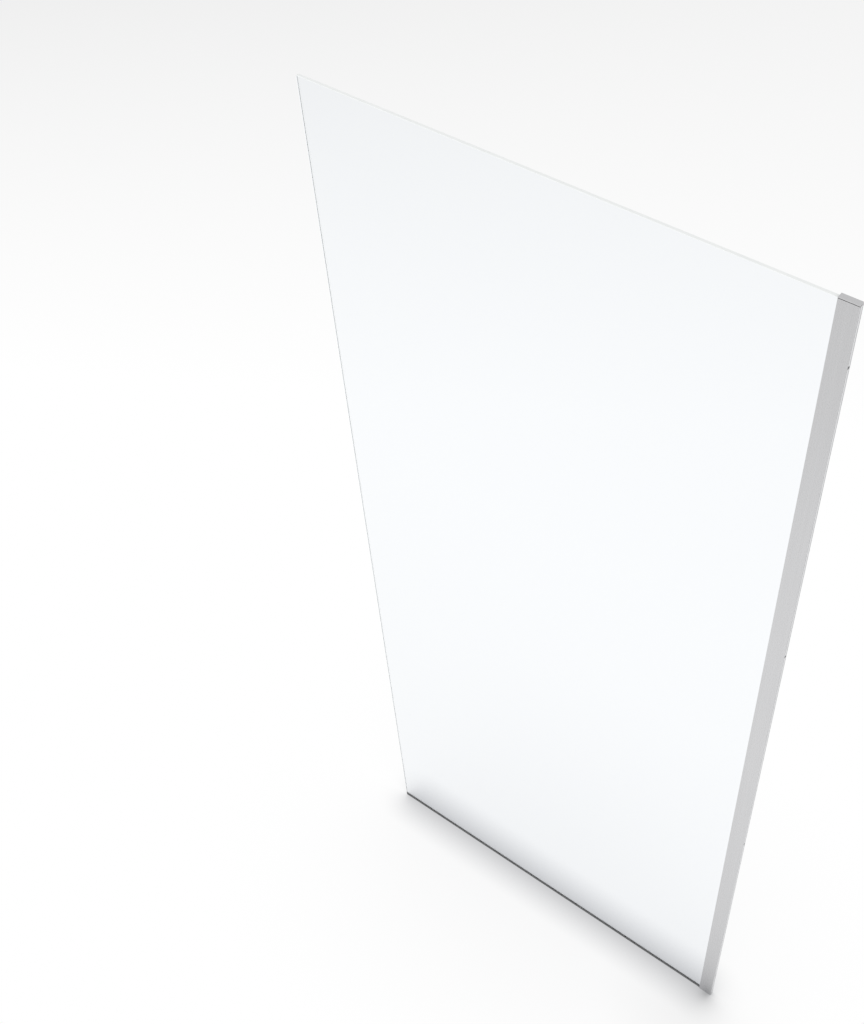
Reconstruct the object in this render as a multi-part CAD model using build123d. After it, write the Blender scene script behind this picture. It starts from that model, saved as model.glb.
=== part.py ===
from build123d import *
import os

# A fixed frameless shower screen: one clear glass panel, held along one upright edge in a slim
# aluminium channel that is screwed to the wall, with a dark sealing strip under the glass.
# X runs along the panel from its free edge (-) to the wall (+), -Y is the side that faces
# the room, and Z is up. The origin is on the floor, under the middle of the whole screen.
# All sizes are in millimetres.

os.makedirs("parts", exist_ok=True)

# Whole screen: free glass edge to wall, and floor to the top of the cap
overall_width = 900.0
overall_height = 2000.0

# Toughened glass: thickness, ground arris along every edge, dubbed corners
glass_thickness = 6.0
glass_arris = 0.5
glass_corner_radius = 1.5

# Ribbed gaskets, one on each side of the glass inside the channel
gasket_base = 0.5
gasket_fin_height = 0.3
gasket_fin_width = 1.2
gasket_fin_angle = 60.0
gasket_fin_count = 3
gasket_width = 6.0
gasket_fit = 0.1

# Extruded wall channel: face seen from the room, side walls, web against the wall
profile_face = 30.0
profile_wall = 1.2
profile_web = 2.0
profile_corner_radius = 0.4

# Ribs inside the channel that keep the gaskets in place, clear of the glass
seat_rib_width = 0.8
seat_rib_glass_gap = 0.3

# Grooves in the web: sealant on the wall side, a drill guide on the glass side
sealant_groove_width = 1.0
sealant_groove_depth = 0.4
sealant_groove_land = 1.1
drill_guide_width = 0.8
drill_guide_depth = 0.3

# Row of plain holes for the wall screws, and the room left for their heads
screw_hole_diameter = 4.5
screw_hole_count = 4
screw_hole_margin = 100.0
screw_head_space = 8.0

# Plastic packers that hold the end of the glass off the web, one between each two screws
packer_height = 60.0
packer_leg_length = 6.0
packer_core_wall = 1.5
packer_fit = 0.1

# Plastic cap: plate on top of the channel with a shadow gap under its rim, and a hollow plug
# pressed down inside the channel
cap_plate = 2.0
cap_top_radius = 0.3
cap_gap_height = 0.9
cap_gap_depth = 0.6
plug_depth = 15.0
plug_wall = 1.2
plug_fit = 0.2
plug_rib_width = 0.8

# Sealing strip under the glass and the block that carries the glass inside the channel
seal_height = 8.0
seal_relief_radius = 1.5
seal_end_gap = 0.2
setting_block_fit = 0.5

# Depth across the glass, from the pieces that fill it
gasket_thickness = gasket_base + gasket_fin_height
channel_width = glass_thickness + 2 * gasket_thickness
profile_depth = channel_width + 2 * profile_wall
seat_rib_height = gasket_thickness - seat_rib_glass_gap

# Places along X, measured from the free edge and the wall
free_edge_x = -overall_width / 2
wall_x = overall_width / 2
mouth_x = wall_x - profile_face
web_x = wall_x - profile_web
glass_end_x = web_x - screw_head_space
gasket_x = mouth_x + seat_rib_width + gasket_fit + gasket_width / 2
inner_rib_x = mouth_x + seat_rib_width + gasket_width + 2 * gasket_fit

# Heights
profile_height = overall_height - cap_plate
glass_height = profile_height - seal_height
screw_pitch = (overall_height - 2 * screw_hole_margin) / (screw_hole_count - 1)
screw_heights = [screw_hole_margin + i * screw_pitch for i in range(screw_hole_count)]


def bar(x_start, x_end, y_start, y_end):
    """A rectangle in plan between two X and two Y places."""
    middle = ((x_start + x_end) / 2, (y_start + y_end) / 2)
    return Pos(*middle) * Rectangle(abs(x_end - x_start), abs(y_end - y_start))


def upright(section, height):
    """A section in plan raised to the given height."""
    return extrude(section, height, dir=(0, 0, 1))


def profile_outline(inset=0):
    """The outside of the channel in plan, which the cap repeats, drawn in by the given inset."""
    middle_x = (mouth_x + wall_x) / 2
    size = (profile_face - 2 * inset, profile_depth - 2 * inset)
    return Pos(middle_x, 0) * RectangleRounded(*size, profile_corner_radius)


def make_wall_profile():
    """The channel: a U with gasket ribs, grooves in its web and holes for the wall screws."""
    section = profile_outline() - bar(mouth_x, web_x, -channel_width / 2, channel_width / 2)
    inner = channel_width / 2
    for side in (-1, 1):
        # The lip at the mouth and the rib behind it are the two ends of the gasket's seat
        for rib_x in (mouth_x, inner_rib_x):
            tip = inner - seat_rib_height
            rib = bar(rib_x, rib_x + seat_rib_width, side * tip, side * (inner + profile_wall / 2))
            section += rib
        groove_outer = profile_depth / 2 - sealant_groove_land
        groove_inner = groove_outer - sealant_groove_width
        section -= bar(wall_x - sealant_groove_depth, wall_x, side * groove_inner, side * groove_outer)
    half_guide = drill_guide_width / 2
    guide = Polygon((web_x, -half_guide), (web_x + drill_guide_depth, 0), (web_x, half_guide), align=None)
    section -= guide
    profile = upright(section, profile_height)
    for height in screw_heights:
        drill = Cylinder(screw_hole_diameter / 2, 2 * profile_web, rotation=(0, 90, 0))
        profile -= Pos((web_x + wall_x) / 2, 0, height) * drill
    return profile


def make_glass_panel():
    """The glass plate, standing on its seal and setting block, with every edge arrissed."""
    width = glass_end_x - free_edge_x
    centre = ((free_edge_x + glass_end_x) / 2, 0, seal_height + glass_height / 2)
    outline = Plane.XZ * RectangleRounded(width, glass_height, glass_corner_radius)
    plate = extrude(outline, glass_thickness / 2, both=True)
    faces = plate.faces().sort_by(Axis.Y)
    edges = faces[0].edges() + faces[-1].edges()
    return Pos(*centre) * chamfer(edges, glass_arris)


def make_gasket(side):
    """A ribbed strip with its back on the channel's wall and its fins on the glass."""
    wall_y = side * channel_width / 2
    base_y = wall_y - side * gasket_base
    section = bar(gasket_x - gasket_width / 2, gasket_x + gasket_width / 2, wall_y, base_y)
    pitch = gasket_width / gasket_fin_count
    turn = 0 if side < 0 else 180
    for i in range(gasket_fin_count):
        fin_x = gasket_x + (i - (gasket_fin_count - 1) / 2) * pitch
        foot = (Align.CENTER, Align.MIN)
        fin = Trapezoid(gasket_fin_width, gasket_fin_height, gasket_fin_angle, align=foot)
        section += Pos(fin_x, base_y) * Rot(0, 0, turn) * fin
    return upright(section, profile_height)


def make_edge_packer(height):
    """A hollow U-shaped block on the end of the glass, centred at the given height."""
    outer = channel_width / 2 - packer_fit
    pocket = glass_thickness / 2 + packer_fit
    section = bar(glass_end_x - packer_leg_length, web_x, -outer, outer)
    section -= bar(glass_end_x - packer_leg_length, glass_end_x, -pocket, pocket)
    core_start = glass_end_x + packer_core_wall
    core_end = web_x - packer_core_wall
    section -= bar(core_start, core_end, packer_core_wall - outer, outer - packer_core_wall)
    return Pos(0, 0, height - packer_height / 2) * upright(section, packer_height)


def make_top_cap():
    """The cap: a plate with the channel's outline, and a ribbed hollow plug in its empty end."""
    rim = upright(profile_outline(), cap_plate - cap_gap_height)
    rim = fillet(rim.faces().sort_by(Axis.Z)[-1].edges(), cap_top_radius)
    neck = upright(profile_outline(cap_gap_depth), cap_gap_height)
    plate = neck + Pos(0, 0, cap_gap_height) * rim
    half = channel_width / 2 - plug_fit
    start = glass_end_x + plug_fit
    end = web_x - plug_fit
    section = bar(start, end, -half, half)
    section -= bar(start + plug_wall, end - plug_wall, plug_wall - half, half - plug_wall)
    for side in (-1, 1):
        # One crush rib on each long side takes up the clearance against the channel
        root = side * half
        middle = (start + end) / 2
        half_rib = plug_rib_width / 2
        points = ((middle - half_rib, root), (middle + half_rib, root), (middle, root + side * plug_fit))
        section += Polygon(*points, align=None)
    plug = Pos(0, 0, -plug_depth) * upright(section, plug_depth)
    return Pos(0, 0, profile_height) * (plate + plug)


def make_bottom_seal():
    """The strip under the glass, with a half-round relief that leaves two lips on the floor."""
    section = Rectangle(glass_thickness, seal_height, align=(Align.CENTER, Align.MIN))
    section -= Circle(seal_relief_radius)
    length = mouth_x - seal_end_gap - free_edge_x
    return Pos(free_edge_x, 0, 0) * extrude(Plane.YZ * section, length)


def make_setting_block():
    """The block inside the foot of the channel that the held edge of the glass stands on."""
    section = bar(mouth_x + setting_block_fit, glass_end_x, -glass_thickness / 2, glass_thickness / 2)
    return upright(section, seal_height)


pieces = {
    "glass_panel": make_glass_panel(),
    "wall_profile": make_wall_profile(),
    "top_cap": make_top_cap(),
    "front_gasket": make_gasket(-1),
    "back_gasket": make_gasket(1),
    "bottom_seal": make_bottom_seal(),
    "setting_block": make_setting_block(),
}
for number, (low, high) in enumerate(zip(screw_heights, screw_heights[1:]), start=1):
    pieces[f"edge_packer_{number}"] = make_edge_packer((low + high) / 2)

for name, piece in pieces.items():
    export_step(piece, f"parts/{name}.step")
    print(name, len(piece.solids()), "solid", round(piece.volume), "mm3")
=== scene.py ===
"""Looks of a fixed shower screen: one clear glass panel held in a satin aluminium wall channel.

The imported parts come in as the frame, in metres, and every part keeps its place. The glass panel is
worked out anew here, because its polished faces and its ground edges need separate finishes. The
channel, the cap, the seal and the parts inside the channel keep their solids and get their finishes.
"""

import logging
import math
from dataclasses import dataclass, field, replace
from enum import Enum
from typing import Any

import bpy
import numpy as np
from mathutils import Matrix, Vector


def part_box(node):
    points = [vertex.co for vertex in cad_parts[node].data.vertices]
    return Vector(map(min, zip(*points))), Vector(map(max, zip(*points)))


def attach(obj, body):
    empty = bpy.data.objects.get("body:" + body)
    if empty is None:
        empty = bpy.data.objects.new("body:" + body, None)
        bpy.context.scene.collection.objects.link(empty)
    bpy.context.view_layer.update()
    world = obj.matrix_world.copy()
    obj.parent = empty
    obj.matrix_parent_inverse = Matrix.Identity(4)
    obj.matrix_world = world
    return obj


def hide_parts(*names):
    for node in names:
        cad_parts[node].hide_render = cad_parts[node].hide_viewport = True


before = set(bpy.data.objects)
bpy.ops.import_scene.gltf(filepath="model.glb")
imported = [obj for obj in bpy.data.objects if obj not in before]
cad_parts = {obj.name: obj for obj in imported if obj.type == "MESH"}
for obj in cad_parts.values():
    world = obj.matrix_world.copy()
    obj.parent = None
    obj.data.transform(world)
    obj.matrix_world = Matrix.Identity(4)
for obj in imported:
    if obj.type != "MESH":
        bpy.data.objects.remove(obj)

log = logging.getLogger("shower_screen")

Colour = tuple[float, float, float]
Point = tuple[float, float, float]
Span = tuple[float, float]

ROOT_BODY = "root"

# The camera's place in metres and its turn to the left in degrees, fitted to edges in the photograph
CAMERA_AT: Point = (0.8770, -1.2292, 3.0046)
CAMERA_TURN = 35.508

# The tone of the floor far away and of the sky that stands behind it
FAR_TONE = 0.855

# The range that most of a noise lies in, and the index of refraction of glass, plastic and rubber
NOISE_RANGE: Span = (0.3, 0.7)
REFRACTIVE_INDEX = 1.5

# Painted shade in a gap: its colour, and the height over which it begins and ends
PAINTED_GAP_SHADE: Colour = (0.05, 0.05, 0.05)
PAINTED_GAP_SHADE_FADE = 0.00002

# The places of a Mix node's two colours among its inputs, and of its colour among its outputs
MIX_FIRST = 6
MIX_SECOND = 7
MIX_RESULT = 2


# Shader maths


@dataclass(frozen=True)
class Pattern:
    """A soft cloudy noise.

    Attributes:
        grains: how many grains there are to a metre.
        detail: how many finer layers are added.
        rough: how strong each finer layer is.
        scale: the scale of the place along each axis, under 1 where the noise is drawn out.
    """

    grains: float
    detail: float = 2.0
    rough: float = 0.5
    scale: Point = (1.0, 1.0, 1.0)


class Wire:
    """One output socket, with the arithmetic of Math nodes."""

    def __init__(self, bench: "NodeBench", socket: bpy.types.NodeSocket) -> None:
        """Keeps the socket and the bench that new Math nodes are put on."""
        self.bench = bench
        self.socket = socket

    def _with(self, operation: str, *values: Any) -> "Wire":
        """Returns the result of a Math node on the values."""
        settings = {"operation": operation}
        return self.bench.node("ShaderNodeMath", settings, dict(enumerate(values)))

    def __add__(self, other: Any) -> "Wire":
        """Sum."""
        return self._with("ADD", self, other)

    def __radd__(self, other: Any) -> "Wire":
        """Sum, reflected."""
        return self._with("ADD", other, self)

    def __sub__(self, other: Any) -> "Wire":
        """Difference."""
        return self._with("SUBTRACT", self, other)

    def __rsub__(self, other: Any) -> "Wire":
        """Difference, reflected."""
        return self._with("SUBTRACT", other, self)

    def __mul__(self, other: Any) -> "Wire":
        """Product."""
        return self._with("MULTIPLY", self, other)

    def __rmul__(self, other: Any) -> "Wire":
        """Product, reflected."""
        return self._with("MULTIPLY", other, self)

    def __truediv__(self, other: Any) -> "Wire":
        """Quotient."""
        return self._with("DIVIDE", self, other)

    def __rtruediv__(self, other: Any) -> "Wire":
        """Quotient, reflected."""
        return self._with("DIVIDE", other, self)

    def __pow__(self, other: Any) -> "Wire":
        """Power."""
        return self._with("POWER", self, other)

    def __rpow__(self, other: Any) -> "Wire":
        """Power, reflected."""
        return self._with("POWER", other, self)

    def at_least(self, other: Any) -> "Wire":
        """The larger of the two values."""
        return self._with("MAXIMUM", self, other)

    def at_most(self, other: Any) -> "Wire":
        """The smaller of the two values."""
        return self._with("MINIMUM", self, other)

    def is_below(self, other: Any) -> "Wire":
        """Is 1 where the value is below the other, or else 0."""
        return self._with("LESS_THAN", self, other)


class NodeBench:
    """A node tree with one method that puts a node on it and joins it up."""

    def __init__(self, owner: bpy.types.Material | bpy.types.World) -> None:
        """Empties the owner's node tree and gives it an output node.

        Args:
            owner: the material or the world whose nodes are made.
        """
        owner.use_nodes = True
        self.tree = owner.node_tree
        self.tree.nodes.clear()
        kind = "World" if isinstance(owner, bpy.types.World) else "Material"
        self.output = self.tree.nodes.new(f"ShaderNodeOutput{kind}")

    def node(
        self,
        kind: str,
        settings: dict[str, Any] | None = None,
        values: dict[str | int, Any] | None = None,
        out: str | int = 0,
    ) -> Wire:
        """Makes a node, sets it, fills its inputs and hands back one output.

        Args:
            kind: the node's type.
            settings: properties of the node, set first.
            values: what each input gets, a Wire or a plain value, by its name or its place.
            out: the name or place of the output that is returned.

        Returns:
            The chosen output as a Wire.
        """
        made = self.tree.nodes.new(kind)
        for name, value in (settings or {}).items():
            setattr(made, name, value)
        for name, value in (values or {}).items():
            socket = made.inputs[name]
            if isinstance(value, Wire):
                self.tree.links.new(value.socket, socket)
            else:
                socket.default_value = value
        return Wire(self, made.outputs[out])

    def finish(self, surface: Wire) -> None:
        """Joins a shader to the output."""
        self.tree.links.new(surface.socket, self.output.inputs["Surface"])

    def place(self) -> Wire:
        """The point of the surface in metres, in the model's own frame."""
        return self.node("ShaderNodeTexCoord", out="Object")

    def noise(self, pattern: Pattern) -> Wire:
        """Reads a noise at the point of the surface.

        Args:
            pattern: the noise.

        Returns:
            The noise as a value, from about 0.25 to 0.75.
        """
        scaled = {"Vector": self.place(), "Scale": pattern.scale}
        at = self.node("ShaderNodeMapping", {"vector_type": "POINT"}, scaled)
        grain = {"Scale": pattern.grains, "Detail": pattern.detail, "Roughness": pattern.rough}
        return self.node("ShaderNodeTexNoise", values={"Vector": at, **grain})

    def span(self, value: Wire, low: float, high: float, to_low: float, to_high: float) -> Wire:
        """The value carried from one range to another, and held at its ends."""
        values = {0: value, 1: low, 2: high, 3: to_low, 4: to_high}
        return self.node("ShaderNodeMapRange", {"clamp": True}, values)

    def spread(self, noise: Wire, low: float, high: float) -> Wire:
        """A noise carried from the range that most of it lies in to another one."""
        return self.span(noise, *NOISE_RANGE, low, high)

    def blend(self, share: Wire, first: Wire | Colour, second: Colour) -> Wire:
        """Makes a colour that lies between two others.

        Args:
            share: how much of the second colour there is, from 0 to 1.
            first: the first colour, plain or as a Wire.
            second: the second colour.

        Returns:
            The colour.
        """
        start = first if isinstance(first, Wire) else (*first, 1.0)
        values = {0: share, MIX_FIRST: start, MIX_SECOND: (*second, 1.0)}
        return self.node("ShaderNodeMix", {"data_type": "RGBA"}, values, out=MIX_RESULT)

    def shade_banded(self, colour: Wire, low: float, high: float) -> Wire:
        """A colour that is painted dark between two heights, as shade in a gap.

        Args:
            colour: the colour outside the painted shade.
            low: the height in metres at which the painted shade begins.
            high: the height at which it ends.

        Returns:
            The colour with its painted shade.
        """
        # Painted shade: the band between the two heights takes the dark colour
        height = self.node("ShaderNodeSeparateXYZ", values={0: self.place()}, out=2)
        above = self.span(height, low, low + PAINTED_GAP_SHADE_FADE, 0.0, 1.0)
        below = self.span(height, high - PAINTED_GAP_SHADE_FADE, high, 1.0, 0.0)
        return self.blend(above * below, colour, PAINTED_GAP_SHADE)

    def relief(self, height: Wire, depth: float, strength: float) -> Wire:
        """A normal from a height pattern.

        Args:
            height: the pattern, from 0 to 1.
            depth: how deep the pattern is, in metres.
            strength: how much of it shows.

        Returns:
            The bent normal.
        """
        values = {"Height": height, "Distance": depth, "Strength": strength}
        return self.node("ShaderNodeBump", values=values)


# Finishes


def new_material(name: str) -> tuple[bpy.types.Material, NodeBench]:
    """An empty material with its bench."""
    material = bpy.data.materials.new(name)
    return material, NodeBench(material)


def weighed(wires: tuple[Wire, ...], parts: tuple[float, ...]) -> Wire:
    """The sum of the wires, each times its own part."""
    return sum(wire * part for wire, part in zip(wires, parts))


@dataclass(frozen=True)
class PolishedGlass:
    """The faces of the toughened panel: clear, faintly blue, with a slight waviness and film."""

    name: str = "clear_glass"
    tint: Colour = (0.958, 0.975, 0.992)
    wave_length: float = 0.30
    wave_scale: Point = (1.0, 1.0, 0.35)
    wave_depth: float = 0.00002
    wave_strength: float = 0.5
    film: Pattern = Pattern(14.0, 4.0, 0.6, (1.0, 1.0, 0.3))
    film_range: Span = (0.52, 0.72)
    film_roughness: float = 0.012

    def make(self) -> bpy.types.Material:
        """Builds the material.

        Returns:
            Glass with the long low waves that the furnace rollers leave, and a faint dried film.
        """
        material, bench = new_material(self.name)
        waves = bench.noise(Pattern(1.0 / self.wave_length, detail=1.0, scale=self.wave_scale))
        film = bench.noise(self.film)
        values = {
            "Base Color": (*self.tint, 1.0),
            "Roughness": bench.span(film, *self.film_range, 0.0, self.film_roughness),
            "IOR": REFRACTIVE_INDEX,
            "Transmission Weight": 1.0,
            "Normal": bench.relief(waves, self.wave_depth, self.wave_strength),
        }
        bench.finish(bench.node("ShaderNodeBsdfPrincipled", values=values))
        return material


@dataclass(frozen=True)
class GroundGlass:
    """An edge of the panel after grinding: satin, with a fine grain."""

    name: str
    pale: Colour
    deep: Colour
    roughness: Span = (0.36, 0.50)
    grain: Pattern = Pattern(2600.0, 3.0, 0.7)
    drift: Pattern = Pattern(22.0)
    grain_depth: float = 0.00003
    grain_strength: float = 0.25

    def make(self) -> bpy.types.Material:
        """Builds the material.

        Returns:
            A satin, almost opaque finish with a fine grain and slow changes of tone.
        """
        material, bench = new_material(self.name)
        grain = bench.noise(self.grain)
        share = bench.spread((grain + bench.noise(self.drift)) / 2.0, 0.0, 1.0)
        values = {
            "Base Color": bench.blend(share, self.deep, self.pale),
            "Roughness": bench.spread(grain, *self.roughness),
            "IOR": REFRACTIVE_INDEX,
            "Normal": bench.relief(grain, self.grain_depth, self.grain_strength),
        }
        bench.finish(bench.node("ShaderNodeBsdfPrincipled", values=values))
        return material


@dataclass(frozen=True)
class SatinAluminium:
    """Anodised aluminium extrusion: satin, with the fine die lines along its length."""

    name: str = "satin_aluminium"
    pale: Colour = (0.672, 0.672, 0.681)
    deep: Colour = (0.640, 0.640, 0.649)
    roughness: Span = (0.21, 0.33)
    lines: Pattern = Pattern(1500.0, 4.0, 0.65, (1.0, 1.0, 0.003))
    broad: Pattern = Pattern(260.0, scale=(1.0, 1.0, 0.01))
    clouds: Pattern = Pattern(9.0, 3.0, scale=(1.0, 1.0, 0.4))
    tone_parts: tuple[float, float, float] = (0.40, 0.35, 0.25)
    tone_range: Span = (0.36, 0.64)
    relief_parts: tuple[float, float] = (0.6, 0.4)
    relief_depth: float = 0.00004
    relief_strength: float = 0.2

    def make(self) -> bpy.types.Material:
        """Builds the material.

        Returns:
            Metal with upright die lines in its colour, gloss and relief, and slow anodising clouds.
        """
        material, bench = new_material(self.name)
        lines, broad, clouds = (bench.noise(kind) for kind in (self.lines, self.broad, self.clouds))
        tone = weighed((lines, broad, clouds), self.tone_parts)
        share = bench.span(tone, *self.tone_range, 0.0, 1.0)
        height = weighed((lines, broad), self.relief_parts)
        values = {
            "Base Color": bench.blend(share, self.deep, self.pale),
            "Metallic": 1.0,
            "Roughness": bench.spread(lines, *self.roughness),
            "Normal": bench.relief(height, self.relief_depth, self.relief_strength),
        }
        bench.finish(bench.node("ShaderNodeBsdfPrincipled", values=values))
        return material


class Grain(Enum):
    """How a moulded surface feels: its grain and the depth of its relief in metres."""

    SPARK_ETCHED = (Pattern(3800.0, rough=0.6), 0.00006)
    SMOOTH_MOULD = (Pattern(900.0, rough=0.6), 0.00003)
    RUBBER_SKIN = (Pattern(2200.0, rough=0.6), 0.00008)


@dataclass(frozen=True)
class Moulded:
    """A moulded plastic or a rubber with an even grain."""

    name: str
    pale: Colour
    deep: Colour
    roughness: float
    grain: Grain
    # The heights between which the colour gets painted shade, if any
    shade_band: Span | None = None
    drift: Pattern = Pattern(18.0, 3.0)
    tone_parts: tuple[float, float] = (0.35, 0.65)
    tone_range: Span = (0.34, 0.66)
    roughness_spread: float = 0.05
    grain_strength: float = 0.35

    def make(self) -> bpy.types.Material:
        """Builds the material.

        Returns:
            An opaque finish whose grain bends the light and whose tone drifts a little. Between
            the two heights of its shade band, it is painted dark: painted shade in a gap.
        """
        material, bench = new_material(self.name)
        pattern, depth = self.grain.value
        skin = bench.noise(pattern)
        drift = bench.noise(self.drift)
        share = bench.span(weighed((skin, drift), self.tone_parts), *self.tone_range, 0.0, 1.0)
        colour = bench.blend(share, self.deep, self.pale)
        smooth = self.roughness - self.roughness_spread
        rough = self.roughness + self.roughness_spread
        values = {
            "Base Color": bench.shade_banded(colour, *self.shade_band) if self.shade_band else colour,
            "Roughness": bench.spread(drift, smooth, rough),
            "IOR": REFRACTIVE_INDEX,
            "Normal": bench.relief(skin, depth, self.grain_strength),
        }
        bench.finish(bench.node("ShaderNodeBsdfPrincipled", values=values))
        return material


@dataclass(frozen=True)
class StudioFloor:
    """A pale floor that darkens a little far away and close around whatever stands on it.

    Tones go from 0 to 1 and distances are in metres.

    Attributes:
        near_reach: how far the tight shadow reaches from what stands on the floor.
        near_shade: how deep it is.
        wide_reach: how far the wide shadow reaches.
        wide_shade: how deep it is.
        shade_samples: how many rays feel for what is near.
        twist: how much the distance grows to the left, for each metre farther out and aside.
        twist_from: how far out it neither grows nor shrinks to a side.
        fall_from: where the fall into the distance begins.
        fall_to: where it ends.
        mirror_near: where the mirrored floor is as pale as the floor itself.
        mirror_far: from where on it is darkest.
        mirror_near_tone: its tone next to the screen.
        mirror_far_tone: its tone where it is darkest.
        foot_at: the place on the floor that the shadow of the channel's foot spreads from.
        foot_core: the least distance at which that shadow's angle is worked out.
        foot_fan: how narrow the shadow is.
        foot_darkest: the most that it takes away.
        foot_close: the depth of its close part.
        foot_close_reach: the distance in which that part dies away to 37 %.
        foot_wide: the depth of its wide part.
        foot_wide_reach: where that part ends.
        shadow_tint: the tint of a full shadow.
        rim_from: how far out the floor begins to fall off all round.
        rim_to: where that ends.
        matt: the grey of the floor to rays other than those that are seen.
    """

    name: str = "studio_floor"
    near_reach: float = 0.080
    near_shade: float = 0.71
    wide_reach: float = 0.60
    wide_shade: float = 0.13
    shade_samples: int = 16
    twist: float = 0.12
    twist_from: float = 4.2
    fall_from: float = 3.2
    fall_to: float = 6.8
    mirror_near: float = 0.9
    mirror_far: float = 2.9
    mirror_near_tone: float = 0.92
    mirror_far_tone: float = 0.80
    foot_at: tuple[float, float] = (0.440, 0.0)
    foot_core: float = 0.001
    foot_fan: float = 1.5
    foot_darkest: float = 0.34
    foot_close: float = 0.42
    foot_close_reach: float = 0.0175
    foot_wide: float = 0.11
    foot_wide_reach: float = 0.25
    shadow_tint: Colour = (0.985, 0.998, 1.05)
    rim_from: float = 6.5
    rim_to: float = 14.0
    matt: float = 0.9

    def _tone(self, bench: NodeBench) -> Wire:
        """The floor's plain tone, which falls evenly over a distance that runs away behind the screen.

        The distance is measured from under the camera, the way the camera is turned. Farther out
        than a set place, it also grows to the left and shrinks to the right, in proportion to how
        far out and how far to that side a point is. Nearer, it is the other way round.

        Args:
            bench: where the nodes are put.

        Returns:
            The tone from 0 to 1, which also falls far out all round.
        """
        place = bench.place()
        x, y = (bench.node("ShaderNodeSeparateXYZ", values={0: place}, out=i) for i in (0, 1))
        turn = math.radians(CAMERA_TURN)
        away = (y - CAMERA_AT[1]) * math.cos(turn) - (x - CAMERA_AT[0]) * math.sin(turn)
        beside = x * math.cos(turn) + y * math.sin(turn)
        along = away - (away - self.twist_from) * beside * self.twist
        plain = bench.span(along, self.fall_from, self.fall_to, 1.0, FAR_TONE)
        radius = (x * x + y * y) ** 0.5
        rim = bench.span(radius, self.rim_from, self.rim_to, 1.0, FAR_TONE)
        return plain.at_most(rim) * self._mirror_fall(bench, y) * self._foot((x, y))

    def _foot(self, axes: tuple[Wire, Wire]) -> Wire:
        """The soft shadow that the solid channel lays on the floor in front of its foot.

        Its depth is the sum of a close part, which dies away exponentially with the distance from
        the foot, and a wide part, which falls evenly to none. The sum is held at the darkest that
        the shadow gets, so that its middle is even. The shadow is full straight in front, and
        falls to none behind, as a power of half the sum of 1 and the cosine of the angle from the
        front.

        Args:
            axes: the place along X and along Y.

        Returns:
            The tone that is left, from 0 to 1.
        """
        across, depth = (axis - start for axis, start in zip(axes, self.foot_at))
        reach = (across * across + depth * depth) ** 0.5
        close = math.e ** (0.0 - reach / self.foot_close_reach) * self.foot_close
        wide = (1.0 - reach / self.foot_wide_reach).at_least(0.0) * self.foot_wide
        fan = (0.5 - depth / reach.at_least(self.foot_core) * 0.5).at_least(0.0) ** self.foot_fan
        return 1.0 - (close + wide).at_most(self.foot_darkest) * fan

    def _mirror_fall(self, bench: NodeBench, depth: Wire) -> Wire:
        """How much duller the floor in front of the screen is in a mirror image than directly.

        Args:
            bench: where the nodes are put.
            depth: the place along Y, negative in front of the screen.

        Returns:
            For mirrored rays in front of the screen, a painted shade whose tone rises evenly up to a
            near place and falls evenly from there to a far one, and 1 for all others.
        """
        ahead = 0.0 - depth
        rise = bench.span(ahead, 0.0, self.mirror_near, self.mirror_near_tone, 1.0)
        fall = bench.span(ahead, self.mirror_near, self.mirror_far, 1.0, self.mirror_far_tone)
        mirrored = bench.node("ShaderNodeLightPath", out="Glossy Depth").at_most(1.0)
        # Painted shade that only mirrored rays see
        return 1.0 - mirrored * (1.0 - rise * fall) * depth.is_below(0.0)

    def _shade(self, bench: NodeBench, reach: float, strength: float) -> Wire:
        """Darkens the floor next to what stands on it.

        Args:
            bench: where the nodes are put.
            reach: how near things have to be.
            strength: how much of the light they can take.

        Returns:
            How much light is left, from 0 to 1.
        """
        settings = {"samples": self.shade_samples}
        near = bench.node("ShaderNodeAmbientOcclusion", settings, {"Distance": reach}, "AO")
        return 1.0 - (1.0 - near) * strength

    def make(self) -> bpy.types.Material:
        """Builds the material.

        Returns:
            A floor that shows its tone to the eye, directly, mirrored or through glass, and that
            is a plain pale matt floor to every other ray.
        """
        material, bench = new_material(self.name)
        near = self._shade(bench, self.near_reach, self.near_shade)
        wide = self._shade(bench, self.wide_reach, self.wide_shade)
        shade = near * wide
        tone = self._tone(bench) * shade
        tint = bench.blend(shade, self.shadow_tint, (1.0, 1.0, 1.0))
        colour = bench.node("ShaderNodeVectorMath", {"operation": "SCALE"}, {0: tint, "Scale": tone})
        shown = bench.node("ShaderNodeEmission", values={"Color": colour, "Strength": 1.0})
        grey = (self.matt, self.matt, self.matt, 1.0)
        matt = bench.node("ShaderNodeBsdfDiffuse", values={"Color": grey})
        bench.finish(bench.node(
            "ShaderNodeMixShader", values={0: seen_by_eye(bench), 1: matt, 2: shown}
        ))
        return material


def seen_by_eye(bench: NodeBench) -> Wire:
    """Is 1 for rays from the camera, mirrored rays and rays that came through glass, or else 0."""
    names = ("Is Camera Ray", "Is Glossy Ray", "Is Transmission Ray")
    camera, mirrored, through = (bench.node("ShaderNodeLightPath", out=name) for name in names)
    return camera.at_least(mirrored).at_least(through)


# Pieces


def mesh_piece(name: str, points: np.ndarray, faces: list[list[int]]) -> bpy.types.Object:
    """Puts computed points and faces into a new object at the origin.

    Args:
        name: the piece's name.
        points: an array of places in metres.
        faces: lists of point numbers, counter-clockwise from outside.

    Returns:
        The new object, linked to the scene.
    """
    mesh = bpy.data.meshes.new(name)
    mesh.from_pydata(points.tolist(), [], faces)
    mesh.update()
    piece = bpy.data.objects.new(name, mesh)
    bpy.context.scene.collection.objects.link(piece)
    return piece


def dress(piece: bpy.types.Object, *materials: bpy.types.Material) -> None:
    """Gives a piece its materials in order."""
    piece.data.materials.clear()
    for material in materials:
        piece.data.materials.append(material)


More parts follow.
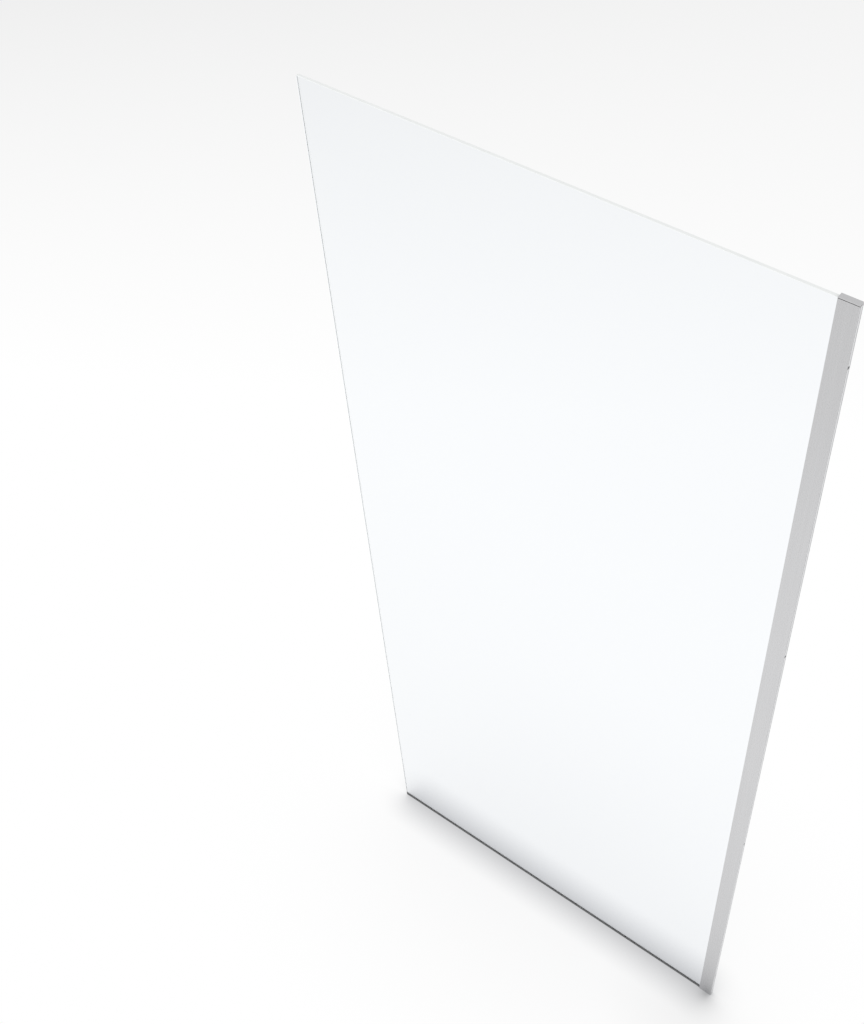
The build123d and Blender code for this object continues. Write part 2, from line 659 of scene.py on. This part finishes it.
class EdgeFinish(Enum):
    """The places of the panel's finishes among its materials."""

    POLISHED = 0
    TOP = 1
    # The arrises' finish is a darker copy of the ground glass: painted shade
    ARRIS = 2
    # The bedded edge is painted as dark as the seal it rests on: painted contact shade
    BEDDED = 3


@dataclass
class GlassPanel:
    """The toughened panel with its ground arrises and small safety corners, in metres.

    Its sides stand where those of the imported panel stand, which it replaces.

    Attributes:
        arris: how far the slope along each edge cuts in.
        corner: the radius of the corners.
        corner_steps: how many straight runs make up a corner.
        touch: how far off something may be and still touch.
    """

    arris: float = 0.0005
    corner: float = 0.0015
    corner_steps: int = 6
    touch: float = 0.000001
    left: float = field(init=False)
    right: float = field(init=False)
    foot: float = field(init=False)
    top: float = field(init=False)
    thickness: float = field(init=False)

    def __post_init__(self) -> None:
        """Takes the panel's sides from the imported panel."""
        (self.left, front, self.foot), (self.right, back, self.top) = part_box("glass_panel")
        self.thickness = back - front

    def _rim(self, inset: float) -> np.ndarray:
        """The outline of the panel, drawn in by an inset.

        Four quarter circles joined by straight runs: each circle's centre stands a corner radius
        inside the sheet, and its points lie at the radius less the inset, at even angles.

        Args:
            inset: how far inside the outline the rim runs.

        Returns:
            Rows of x and z, counter-clockwise seen from the front.
        """
        centres = np.array([
            (self.left + self.corner, self.foot + self.corner),
            (self.right - self.corner, self.foot + self.corner),
            (self.right - self.corner, self.top - self.corner),
            (self.left + self.corner, self.top - self.corner),
        ])
        steps = np.linspace(0.0, math.pi / 2, self.corner_steps + 1)
        starts = np.array([math.pi, 1.5 * math.pi, 0.0, 0.5 * math.pi])
        angles = starts[:, None] + steps[None, :]
        ring = np.stack([np.cos(angles), np.sin(angles)], axis=-1) * (self.corner - inset)
        return (centres[:, None, :] + ring).reshape(-1, 2)

    def build(self) -> bpy.types.Object:
        """Makes and dresses the mesh: the section of the edge carried round the rim, and two faces.

        The section has four points: front face, front arris, back arris, back face. Each of them
        is a closed loop round the panel, at its own inset and depth. Strips join the loops.

        Returns:
            The panel, a closed skin whose faces and edges have their own finishes.
        """
        half = self.thickness / 2
        section = [
            (self.arris, -half), (0.0, self.arris - half), (0.0, half - self.arris), (self.arris, half)
        ]
        loops = [self._rim(inset) for inset, _ in section]
        count = len(loops[0])
        points = np.concatenate([
            np.column_stack([loop[:, 0], np.full(count, depth), loop[:, 1]])
            for loop, (_, depth) in zip(loops, section)
        ])
        here = np.arange(count)
        ahead = (here + 1) % count
        strip = np.stack([ahead, here, here + count, ahead + count], axis=1)
        strips = np.concatenate([strip + count * k for k in range(len(section) - 1)])
        back = here[::-1] + count * (len(section) - 1)
        faces = [here.tolist(), back.tolist()] + strips.tolist()
        piece = mesh_piece("glass_panel_sheet", points, faces)
        dress(
            piece,
            PolishedGlass().make(),
            GroundGlass("ground_top", pale=(0.94, 0.955, 0.95), deep=(0.88, 0.90, 0.895)).make(),
            # The same ground glass as the top, made darker: painted shade along the arrises
            GroundGlass("shaded_ground_arris", pale=(0.58, 0.63, 0.62), deep=(0.48, 0.53, 0.52)).make(),
            # Painted as dark as the seal that the edge rests on: painted contact shade
            GroundGlass("shaded_bedded_edge", pale=(0.125, 0.128, 0.128), deep=(0.105, 0.108, 0.108)).make(),
        )
        finish = np.concatenate([[EdgeFinish.POLISHED.value] * 2, self._finishes(points[strips], count)])
        piece.data.polygons.foreach_set("material_index", finish.astype(np.int32))
        return piece

    def _finishes(self, corners: np.ndarray, count: int) -> np.ndarray:
        """Says which finish each strip face has.

        The middle strip is the flat of the edge and the strips beside it are its arrises. All
        three are ground along the top. An upright edge has a polished flat between ground arrises,
        which get a darker copy of the ground finish as painted shade. All that touches the seal is
        bedded in it and painted as dark as the seal, as painted contact shade.

        Args:
            corners: the four corner points of each face, strip after strip.
            count: how many faces one strip has.

        Returns:
            The place of the finish among the panel's materials, face by face.
        """
        flat = np.arange(len(corners)) // count == 1
        level = np.ptp(corners[:, :, 2], axis=1) < np.ptp(corners[:, :, 0], axis=1)
        height = corners[:, :, 2].max(axis=1)
        kinds = np.where(flat, EdgeFinish.POLISHED.value, EdgeFinish.ARRIS.value)
        kinds = np.where(level & (height > self.top - self.corner), EdgeFinish.TOP.value, kinds)
        return np.where(height < self.foot + self.arris + self.touch, EdgeFinish.BEDDED.value, kinds)

    def place(self) -> None:
        """Builds the panel and hands it over."""
        piece = self.build()
        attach(piece, ROOT_BODY)
        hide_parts("glass_panel")
        log.info("glass panel: %d faces", len(piece.data.polygons))


@dataclass
class WallChannel:
    """The aluminium channel, its cap and the parts that hold the glass inside it.

    Attributes:
        cap_gap: the height of the gap under the cap's rim, whose shade is painted on.
        gap_margin: how far below the channel's top the cap's painted shade begins.
    """

    metal: SatinAluminium = SatinAluminium()
    cap: Moulded = Moulded(
        "silver_plastic", (0.575, 0.575, 0.583), (0.535, 0.535, 0.543), 0.42, Grain.SPARK_ETCHED
    )
    gasket: Moulded = Moulded(
        "gasket_rubber", (0.36, 0.36, 0.36), (0.31, 0.31, 0.31), 0.62, Grain.RUBBER_SKIN
    )
    block: Moulded = Moulded(
        "block_plastic", (0.090, 0.090, 0.092), (0.070, 0.070, 0.072), 0.48, Grain.SMOOTH_MOULD
    )
    cap_gap: float = 0.0009
    gap_margin: float = 0.0001

    def place(self) -> None:
        """Dresses the channel's own solids."""
        channel_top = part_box("wall_profile")[1][2]
        # The cap's band of painted shade, in the gap under its rim
        shade_band = (channel_top - self.gap_margin, channel_top + self.cap_gap + PAINTED_GAP_SHADE_FADE)
        parts = {
            self.metal: ["wall_profile"],
            replace(self.cap, shade_band=shade_band): ["top_cap"],
            self.gasket: ["front_gasket", "back_gasket"],
            self.block: ["setting_block", "edge_packer_1", "edge_packer_2", "edge_packer_3"],
        }
        for finish, names in parts.items():
            material = finish.make()
            for name in names:
                dress(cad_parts[name], material)
                log.info("%s: %s", name, finish.name)


@dataclass
class FootSeal:
    """The dark strip between the glass and the floor."""

    rubber: Moulded = Moulded(
        "seal_rubber", (0.125, 0.127, 0.128), (0.105, 0.107, 0.108), 0.58, Grain.RUBBER_SKIN
    )

    def place(self) -> None:
        """Dresses the seal."""
        dress(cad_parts["bottom_seal"], self.rubber.make())
        log.info("bottom_seal: %s", self.rubber.name)


# Studio


@dataclass
class Studio:
    """The pale floor, the soft light and the camera.

    Attributes:
        floor_reach: how far the floor reaches to each side, in metres.
        floor_squares: how many squares it has along each side.
        sky_level: the strength of the even light from all round.
        camera_down: how far the camera looks down, in degrees.
        focal_pixels: its focal length, in pixels of the photograph.
        frame_pixels: the photograph's width and height.
        axis_pixel: the pixel of the photograph that the camera looks straight at.
        sensor_width: the size of its sensor along the picture's longer side, in millimetres.
        sight_reach: how far it sees, in metres.
    """

    floor_reach: float = 30.0
    floor_squares: int = 8
    sky_level: float = 0.80
    camera_down: float = 48.300
    focal_pixels: float = 1341.96
    frame_pixels: tuple[int, int] = (864, 1024)
    axis_pixel: tuple[float, float] = (551.0, 527.52)
    sensor_width: float = 36.0
    sight_reach: float = 200.0

    def _floor(self) -> None:
        """Lays the floor: a square grid of points at height 0."""
        line = np.linspace(-self.floor_reach, self.floor_reach, self.floor_squares + 1)
        x, y = np.meshgrid(line, line)
        points = np.column_stack([x.ravel(), y.ravel(), np.zeros(x.size)])
        grid = np.arange(x.size).reshape(x.shape)
        corners = (grid[:-1, :-1], grid[:-1, 1:], grid[1:, 1:], grid[1:, :-1])
        faces = np.stack(corners, axis=-1).reshape(-1, 4)
        floor = mesh_piece("floor", points, faces.tolist())
        dress(floor, StudioFloor().make())

    def _sky(self) -> None:
        """Makes the even light from all round, and the pale tone that stands behind the floor."""
        world = bpy.data.worlds.new("studio_sky")
        bench = NodeBench(world)
        light = bench.node("ShaderNodeBackground", values={0: (1.0, 1.0, 1.0, 1.0), 1: self.sky_level})
        tone = (FAR_TONE, FAR_TONE, FAR_TONE, 1.0)
        shown = bench.node("ShaderNodeBackground", values={0: tone, 1: 1.0})
        bench.finish(bench.node(
            "ShaderNodeMixShader", values={0: seen_by_eye(bench), 1: light, 2: shown}
        ))
        bpy.context.scene.world = world

    @staticmethod
    def _softbox(name: str, at: Point, towards: Point, side: float, watts: float) -> None:
        """Hangs a square softbox.

        Args:
            name: its name.
            at: where its middle is.
            towards: the point it faces.
            side: the length of its side in metres.
            watts: its power.
        """
        data = bpy.data.lights.new(name, "AREA")
        data.shape = "SQUARE"
        data.size = side
        data.energy = watts
        box = bpy.data.objects.new(name, data)
        bpy.context.scene.collection.objects.link(box)
        box.location = at
        aim = np.array(towards) - np.array(at)
        flat = math.hypot(aim[0], aim[1])
        box.rotation_euler = (math.atan2(flat, -aim[2]), 0.0, math.atan2(-aim[0], aim[1]))
        box.visible_camera = False
        box.visible_transmission = False

    def _camera(self) -> None:
        """Sets the camera as it was fitted to the edges in the photograph."""
        wide, high = self.frame_pixels
        data = bpy.data.cameras.new("camera")
        data.sensor_width = self.sensor_width
        data.lens = self.focal_pixels / high * self.sensor_width
        data.shift_x = ((wide - 1) / 2 - self.axis_pixel[0]) / high
        data.shift_y = (self.axis_pixel[1] - (high - 1) / 2) / high
        data.clip_end = self.sight_reach
        camera = bpy.data.objects.new("camera", data)
        bpy.context.scene.collection.objects.link(camera)
        camera.location = CAMERA_AT
        camera.rotation_euler = (math.radians(90 - self.camera_down), 0.0, math.radians(CAMERA_TURN))
        bpy.context.scene.camera = camera

    def place(self) -> None:
        """Puts up the studio."""
        self._floor()
        self._sky()
        front = {"at": (-1.4, -3.6, 3.4), "towards": (0.1, 0.0, 0.9), "side": 3.0, "watts": 46.0}
        side = {"at": (4.2, -0.6, 2.8), "towards": (0.4, 0.0, 1.0), "side": 2.2, "watts": 26.0}
        self._softbox("softbox_front", **front)
        self._softbox("softbox_side", **side)
        self._camera()
        bpy.context.scene.view_settings.view_transform = "Standard"


def main() -> None:
    """Builds the screen piece by piece, then the studio."""
    logging.basicConfig(level=logging.INFO, format="%(name)s: %(message)s")
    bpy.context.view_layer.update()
    for part in (GlassPanel(), WallChannel(), FootSeal(), Studio()):
        part.place()
        log.info("%s is in place", type(part).__name__)


if __name__ == "__main__":
    main()
